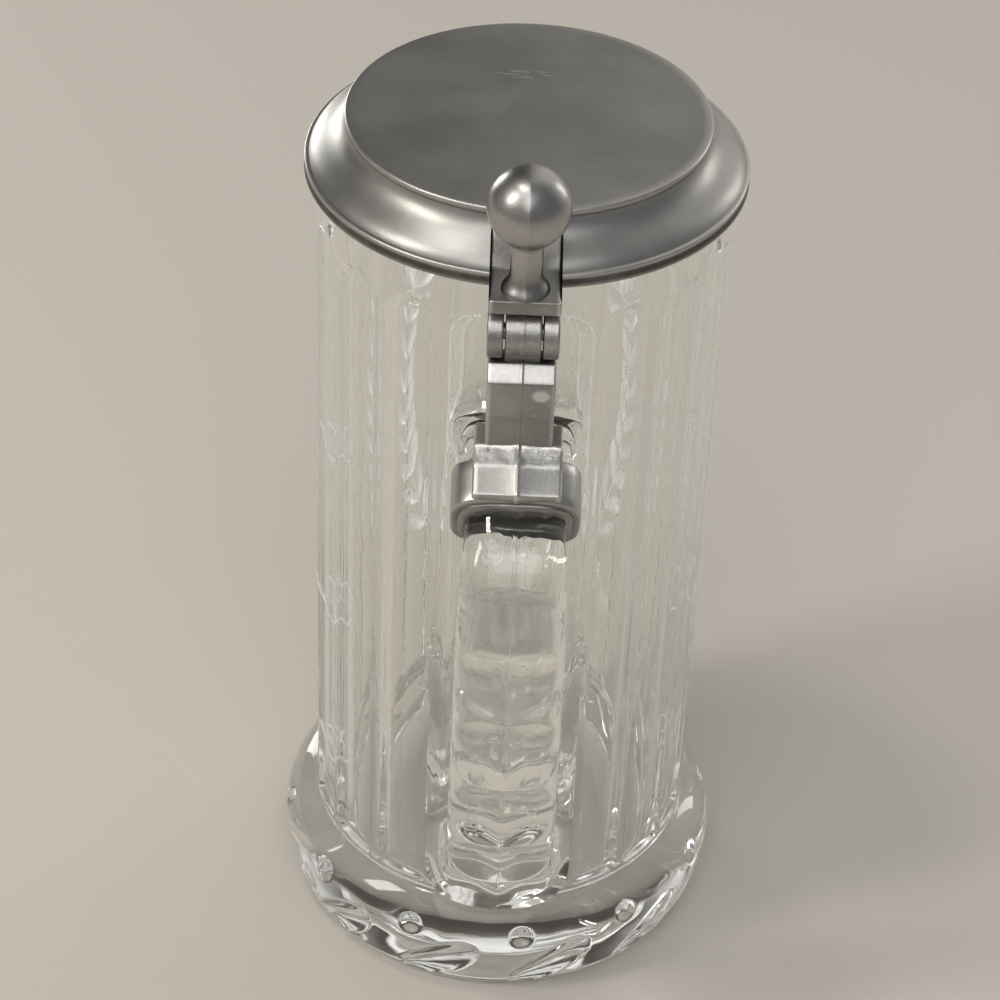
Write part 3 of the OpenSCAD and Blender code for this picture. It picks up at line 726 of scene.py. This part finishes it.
back_y, front_y = HINGE_Y + SHANK_BACK, HINGE_Y - SHANK_FRONT
shank_top = HINGE_Z - KNUCKLE_R - HINGE_GAP
back_edge = arm_edge(COLLAR_FROM, COLLAR_WALL)
front_edge = arm_edge(collar_end, COLLAR_WALL)
heel_z = (back_edge + arm_out * SHANK_FOOT_T)[1]
neck = rounded([[back_y, shank_top - 2], [back_y, HINGE_Z], [HINGE_Y - NECK_FRONT, HINGE_Z],
                [HINGE_Y - NECK_FRONT, shank_top - 2]], 0.3)
post = rounded([[back_y, heel_z], [back_y, shank_top], [front_y + SHOULDER, shank_top],
                [front_y, shank_top - SHOULDER], [front_y, heel_z + 1], back_edge - [0, 0.4]], 0.35)
heel = rounded([[back_y, heel_z], [back_y, heel_z + 2], [front_y, heel_z + 2.2],
                [front_y - 2, heel_z - 1], front_edge + arm_out * SHANK_FOOT_T - arm_way * 0.3,
                front_edge - arm_out * 0.4 - arm_way * 0.2, back_edge - arm_out * 0.4], 0.5)
OUTLINE_GAP = 0.5
neck_grid = slab(neck, -MIDDLE_W / 2, MIDDLE_W / 2, 0.2)
post_grid = slab(refined(post, OUTLINE_GAP), -SHANK_W / 2, SHANK_W / 2, 0.4, ridge=0.3, bead=SEAM_H)
heel_grid = slab(refined(heel, OUTLINE_GAP), -SHANK_FOOT_W / 2, SHANK_FOOT_W / 2, 0.6,
                 ridge=1.0, bead=1.4 * SEAM_H)
middle_grid = barrel(-MIDDLE_W / 2, MIDDLE_W / 2, KNUCKLE_R, bead=0.6 * SEAM_H)

# Height below which the post is browner, place and half sizes of its pale patch, height of the heel's lumps
TONE_STEP_Z, PATCH_X, PATCH_Z, PATCH_HALF_W, PATCH_HALF_H = 157.4, 3.6, 162.0, 1.8, 1.3
LUMP_H = 0.11


def post_marks(grid):
    """Marks of the post: browner low down, with one paler patch, and the shoulder brightened as a painted
    highlight.
    """
    x, y, z = grid[..., 0], grid[..., 1], grid[..., 2]
    patch = 1 - step(np.hypot((x - PATCH_X) / PATCH_HALF_W, (z - PATCH_Z) / PATCH_HALF_H), 0.6, 1.1)
    # The shoulder's facet is brightened as a painted highlight.
    shoulder = step(z, shank_top - SHOULDER, shank_top - SHOULDER + 0.5) * (y < front_y + SHOULDER)
    brown = np.where(z < TONE_STEP_Z, 0.12, 0)
    return worn(grid, front_y, 0.15) + brown - 1.3 * patch - 0.5 * shoulder


def heel_lumps(grid):
    """Where the heel's slope is lumpy, from 0 to 1, and the height of its wrinkles: waves across the slope
    that waver and cross."""
    x, y, h = grid[..., 0], grid[..., 1], grid[..., 2] - heel_z
    lumps = step(h, -1.4, 0.4) * (y < front_y + 0.3)
    waver = np.sin(2.3 * x + 1.5 * np.sin(1.1 * x) + 1.2 * h)
    return lumps, waver + 0.6 * np.sin(4.7 * x - 2.1 * h)


def heel_marks(grid, lumps, wrinkle):
    """Marks of the heel: rubbed bright along its edges and a little all over, rubbed metal with painted
    highlights on its wrinkles' crests and along its seam, and a top lightened as a painted highlight.
    """
    edges = np.zeros(grid.shape[:2])
    edges[1:ROUND_ROWS] = -EDGE_RUB
    edges[-ROUND_ROWS:-1] = -EDGE_RUB
    # The wrinkles' crests and the seam are brightened as rubbed metal and painted highlights, and the top as a
    # painted highlight.
    rubbed_and_highlight = lumps * step(wrinkle, -0.6, 0.6) + 0.25 + 1.2 * np.exp(-(grid[..., 0] / 0.4) ** 2)
    return edges - rubbed_and_highlight - 0.7 * (grid[..., 2] - heel_z > 0.5)


def knuckle_painted_shade(grid):
    """Painted shade on the lower half of a knuckle, darker towards the bottom."""
    return 0.3 * step(-(grid[..., 2] - HINGE_Z), -1.0, 1.6)


lumps, wrinkle = heel_lumps(heel_grid)
heel_grid[..., 1] -= LUMP_H * lumps * wrinkle
shank = Piece().add(middle_grid, False, knuckle_painted_shade(middle_grid), 0.7).add(neck_grid, False, 0.5, 0.5)
shank.add(post_grid, False, post_marks(post_grid), 0.4)
shank.add(heel_grid, False, heel_marks(heel_grid, lumps, wrinkle), 0.3 + 0.7 * lumps)
shank.make("shank_casting", "mug", CAST_PEWTER, ("hinge_shank",), "pewter", sharp=35)

# Pewter lid

lid_run, lip_z = LID_R - DISC_R, LID_H - DISC_LIP
ogee_rise = lip_z - LID_EDGE
ogee_head = np.array([DISC_R - DISC_ROUND, lip_z])
ogee_foot = np.array([LID_R - LID_LIP, LID_EDGE])
ogee_curve = np.array([ogee_foot, ogee_foot + [-1.4, 0.42 * ogee_rise],
                       ogee_head + [0.16 * lid_run, -0.6 * ogee_rise], ogee_head])
# Rows of [radius, height] from the middle of the hollow to the middle of the disc, with the mark of each run:
# tarnish, with painted shade and painted highlights on the edge and the disc's lip
lid_rows = [
    ([[0.3, LID_HOLLOW_H], [29.8, LID_HOLLOW_H], [31.0, 9.2], [31.8, 8.4], [LID_HOLLOW_R, 7.4],
      [LID_HOLLOW_R, 2.0], [LID_HOLLOW_R + 0.4, LID_SEAT], [SKIRT_R - 0.4, LID_SEAT], [SKIRT_R, 1.3],
      [SKIRT_R, 0.3], [SKIRT_R + 0.1, 0.05], [LID_R - 0.5, 0.0]], 0.15),
    (arc((LID_R - 0.35, 0.35), 0.35, -70, 0, 4), 0.3),
    # The edge's upright side is darkened with tarnish and painted shade, and its rounded top brightened as a
    # painted highlight.
    ([[LID_R, 1.0], [LID_R - 0.05, 1.7]], 1.0),
    (arc((LID_R - 0.5, LID_EDGE - 0.45), 0.45, 5, 62, 5), -0.5),
    (bezier(ogee_curve, np.linspace(0, 1, 34)), 0.0),
    # The round under the disc's lip is darkened as painted shadow, and the lip's rounded top brightened as a
    # painted highlight.
    (arc((DISC_R - 0.5, LID_H - 1.1), 0.5, -80, 0, 4), 0.35),
    (arc((DISC_R - 0.5, LID_H - 0.5), 0.5, 10, 84, 6), -0.35),
    ([[32.5, LID_H + 0.01], [30, LID_H + 0.03], [24, LID_H + 0.1], [12, LID_H + 0.3],
      [0.3, LID_H + DISC_RISE]], 0.0)]
lid_profile = np.concatenate([np.asarray(rows, float) for rows, _ in lid_rows]) + [0, LID_Z]
lid_grime_and_painted_light = np.concatenate([np.full(len(rows), mark) for rows, mark in lid_rows])[:, None]
Piece().add(turned(lid_profile, ring_angles(256)), False, lid_grime_and_painted_light).make(
    "lid_shell", "lid", LID_PEWTER, ("lid_cap",), "pewter", sharp=40)

# Tang, knuckles and thumb lift

tang_z = LID_Z + LID_EDGE + STRAP_T
tang_y = HINGE_Y - TANG_FRONT
strap_way = STRAP_T * np.array([-0.6, 0.8])
strap = bezier(ogee_curve, np.linspace(2 / 7, 1, 6)) * [-1, 1] + [0, LID_Z] + strap_way
web = [[HINGE_Y - WEB_FRONT, HINGE_Z], [HINGE_Y - WEB_FRONT, tang_z - TANG_T + 0.3],
       [-LID_R, tang_z - TANG_T + 0.3], [-LID_R, LID_Z], [HINGE_Y + KNUCKLE_R - 0.1, HINGE_Z]]
plate_front = [[tang_y, tang_z - TANG_T], [tang_y, tang_z], [-ogee_foot[0] + strap_way[0], tang_z]]
plate_back = [[-DISC_R + 1, LID_Z + 8], [-LID_R + 2, LID_Z + 1.5], [-LID_R, tang_z - TANG_T]]
plate = np.concatenate([plate_front, strap, plate_back])
side = HINGE_W / 2
inner_side = MIDDLE_W / 2 + HINGE_GAP
plate_grid = slab(rounded(plate, 0.45), -side, side, 0.45)
tang = Piece().add(plate_grid, False, worn(plate_grid, tang_y, 0.35), 0.4)
for x0, x1 in ((-side, -inner_side), (inner_side, side)):
    knuckle = barrel(x0, x1, KNUCKLE_R)
    tang.add(slab(rounded(web, 0.3), x0, x1, 0.2), False, 0.5, 0.5)
    tang.add(knuckle, False, knuckle_painted_shade(knuckle), 0.7)
tang.make("tang_casting", "lid", CAST_PEWTER, ("lid_tang",), "pewter", sharp=35)

stem_flare = bezier([[FLARE_R + 0.2, 0.0], [FLARE_R + 0.1, 1.3], [STEM_R, 1.3], [STEM_R, 4.2]],
                    np.linspace(0, 1, 14))
neck_z = BALL_RISE - math.sqrt(BALL_R ** 2 - (STEM_R + 0.5) ** 2)
low_ball = math.degrees(math.asin((neck_z - BALL_RISE) / BALL_R))
lift_profile = np.concatenate([stem_flare, [[STEM_R, 7.0], [STEM_R, neck_z - 0.8]],
                               arc((STEM_R + 0.1, neck_z - 0.35), 0.45, -75, 60, 6),
                               arc((0, BALL_RISE), BALL_R, low_ball, 89, 48)])
lift = turned(lift_profile, ring_angles(160, (0.003, 0.008, 0.018)))
# Towards the seam the two halves rise to a ridge: y grows by tilt * reach * exp(-|x| / reach).
lift_r = lift_profile[:, :1]
lift_reach = 0.4 * lift_r
lift_ridge = RIDGE_TILT * lift_reach * np.exp(-np.abs(lift[..., 0]) / lift_reach) / lift_r
# Tarnish lies at the front of the stem's foot, and painted shade darkens the lower part of the ball.
lift_h = lift[..., 2]
stem_grime = 0.35 * step(-lift[..., 1] - 0.6 * (lift_h - 5.0), 1.0, 4.0) * (lift_h < BALL_RISE - 5)
ball_painted_shade = 0.3 * step(BALL_RISE - lift_h, 1.5, 5.5) * (lift_h > neck_z)
lift_grime_and_shade = stem_grime + ball_painted_shade
lift[..., 1] = lift[..., 1] * (1 + lift_ridge) + HINGE_Y + LIFT_BACK
lift[..., 2] += tang_z
Piece().add(lift, False, lift_grime_and_shade, 0.15).make(
    "ball_lift", "lid", HANDLED_PEWTER, ("thumb_lift",), "pewter", sharp=50)

PLUG_PROUD, PLUG_DEPTH = 0.05, 0.9
plugs = Piece()
for x0, x1 in ((-side - PLUG_PROUD, -side + PLUG_DEPTH), (side - PLUG_DEPTH, side + PLUG_PROUD)):
    plugs.add(barrel(x0, x1, PIN_R, 0.15, 40), False, 0.2, 0.6)
plugs.make("bore_plugs", "lid", CAST_PEWTER, ("pin_plugs",), "pewter")
pin_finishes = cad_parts["hinge_pin"].data.materials
pin_finishes.clear()
pin_finishes.append(CAST_PEWTER)

# Floor, light and camera

FLOOR_Z, FLOOR_HALF, FLOOR_SHARE = -0.0004, 4.0, 0.2
floor_corners = [(x * FLOOR_HALF, y * FLOOR_HALF, FLOOR_Z) for x, y in ((-1, -1), (1, -1), (1, 1), (-1, 1))]
floor_mesh = bpy.data.meshes.new("studio_floor")
floor_mesh.from_pydata(floor_corners, [], [(0, 1, 2, 3)])
studio_floor = bpy.data.objects.new("studio_floor", floor_mesh)
bpy.context.scene.collection.objects.link(studio_floor)
floor_finish = Finish("studio_floor")
floor_finish.set(Base_Color=(0.70, 0.655, 0.60, 1), Roughness=0.6)
# Glass shows the floor with only part of the shadow that it throws itself.
lit_floor = Value(floor_finish, floor_finish.shader.outputs[0])
shown_floor = floor_finish.add("ShaderNodeEmission", {}, {"Color": (0.40, 0.365, 0.32, 1)})
seen_through = floor_finish.add("ShaderNodeLightPath", out="Is Transmission Ray")
floor_surface = floor_finish.add("ShaderNodeMixShader", {},
                                 {0: seen_through * FLOOR_SHARE, 1: lit_floor, 2: shown_floor})
floor_finish.feed(floor_finish.tree.nodes["Material Output"].inputs["Surface"], floor_surface)
floor_mesh.materials.append(floor_finish.material)

STEIN_MIDDLE_Z = 0.12


def softbox(name, way, distance, width, height, power, colour):
    """A flat lamp in a direction from the stein's middle, at a distance in metres, aimed back at it."""
    middle = Vector((0, 0, STEIN_MIDDLE_Z))
    lamp = bpy.data.lights.new(name, "AREA")
    lamp.shape, lamp.size, lamp.size_y = "RECTANGLE", width, height
    lamp.energy, lamp.color = power, colour
    stand = bpy.data.objects.new(name, lamp)
    stand.location = middle + Vector(way).normalized() * distance
    stand.rotation_euler = (-Vector(way)).to_track_quat("-Z", "Y").to_euler()
    bpy.context.scene.collection.objects.link(stand)


# Each lamp's direction, distance, width, height, power in watts and colour
LAMPS = {
    "ceiling_light": ((-0.32, -0.05, 0.95), 1.3, 0.16, 0.16, 1.8, (1.0, 0.96, 0.88)),
    "front_light": ((-0.06, -0.61, 0.79), 1.4, 1.0, 1.0, 5.5, (1.0, 0.99, 0.97)),
    "left_light": ((-0.71, -0.29, 0.64), 1.3, 0.20, 0.6, 4.2, (1.0, 0.95, 0.87)),
    "window_light": ((-0.53, 0.85, 0.08), 1.3, 0.30, 0.45, 3.2, (1.0, 0.99, 0.95)),
    "right_light": ((0.78, 0.58, 0.22), 1.3, 0.12, 0.6, 1.2, (1.0, 0.97, 0.92))}
for lamp_name, lamp_values in LAMPS.items():
    softbox(lamp_name, *lamp_values)

world = bpy.data.worlds.new("studio")
bpy.context.scene.world = world
world.use_nodes = True
room = Nodes(world.node_tree)
sky_way = room.add("ShaderNodeTexCoord", out="Generated")
sky_right = room.axis(sky_way, "X").between(-0.15, 0.3)
sky_back = room.axis(sky_way, "Y").between(0.0, 0.6)
# Soft room light: lighter at the back right and the front left than at the back left and the front right
sky_front_tone = room.mix(sky_right, (0.34, 0.33, 0.31, 1), (0.19, 0.195, 0.205, 1))
sky_back_tone = room.mix(sky_right, (0.09, 0.088, 0.084, 1), (0.74, 0.72, 0.68, 1))
sky = room.mix(sky_back, sky_front_tone, sky_back_tone)
# Through glass the room is dark low down and bright overhead; bare, it is as pale as the floor.
through_glass = room.add("ShaderNodeLightPath", out="Is Transmission Ray")
sky_high = room.axis(sky_way, "Z").between(0.35, 0.95)
sky_through = room.mix(sky_high, (0.03, 0.027, 0.023, 1), (1.0, 0.985, 0.95, 1))
sky = room.mix(through_glass, sky, sky_through)
seen_bare = room.add("ShaderNodeLightPath", out="Is Camera Ray")
sky = room.mix(seen_bare, sky, (0.50, 0.46, 0.405, 1))
room.feed(world.node_tree.nodes["Background"].inputs["Color"], sky)

# The photograph's viewpoint: yaw, pitch and roll in degrees, place in millimetres, and the lens against the
# width of the sensor
VIEW_ANGLES, VIEW_PLACE, SENSOR, LENS_TO_SENSOR = (0.66, 37.83, 2.54), (-7.7, -471.0, 462.7), 36.0, 2.9
yaw, pitch, roll = np.radians(VIEW_ANGLES)
ahead = np.array([math.sin(yaw) * math.cos(pitch), math.cos(yaw) * math.cos(pitch), -math.sin(pitch)])
flat_right = np.array([math.cos(yaw), -math.sin(yaw), 0])
flat_up = np.cross(flat_right, ahead)
right = math.cos(roll) * flat_right + math.sin(roll) * flat_up
up = math.cos(roll) * flat_up - math.sin(roll) * flat_right
camera_data = bpy.data.cameras.new("camera")
camera_data.sensor_width, camera_data.lens = SENSOR, SENSOR * LENS_TO_SENSOR
camera_data.clip_start, camera_data.clip_end = 0.01, 20
camera = bpy.data.objects.new("camera", camera_data)
camera_place = np.eye(4)
camera_place[:3, 0], camera_place[:3, 1], camera_place[:3, 2] = right, up, -ahead
camera_place[:3, 3] = np.array(VIEW_PLACE) * MM
camera.matrix_world = Matrix(camera_place.tolist())
bpy.context.scene.collection.objects.link(camera)
bpy.context.scene.camera = camera
bpy.context.scene.view_settings.view_transform = "Standard"
# Light passes many walls of glass before it comes out of the flutes and the foot.
GLASS_BOUNCES = 24
bpy.context.scene.cycles.max_bounces = GLASS_BOUNCES
bpy.context.scene.cycles.glossy_bounces = GLASS_BOUNCES
bpy.context.scene.cycles.transmission_bounces = GLASS_BOUNCES
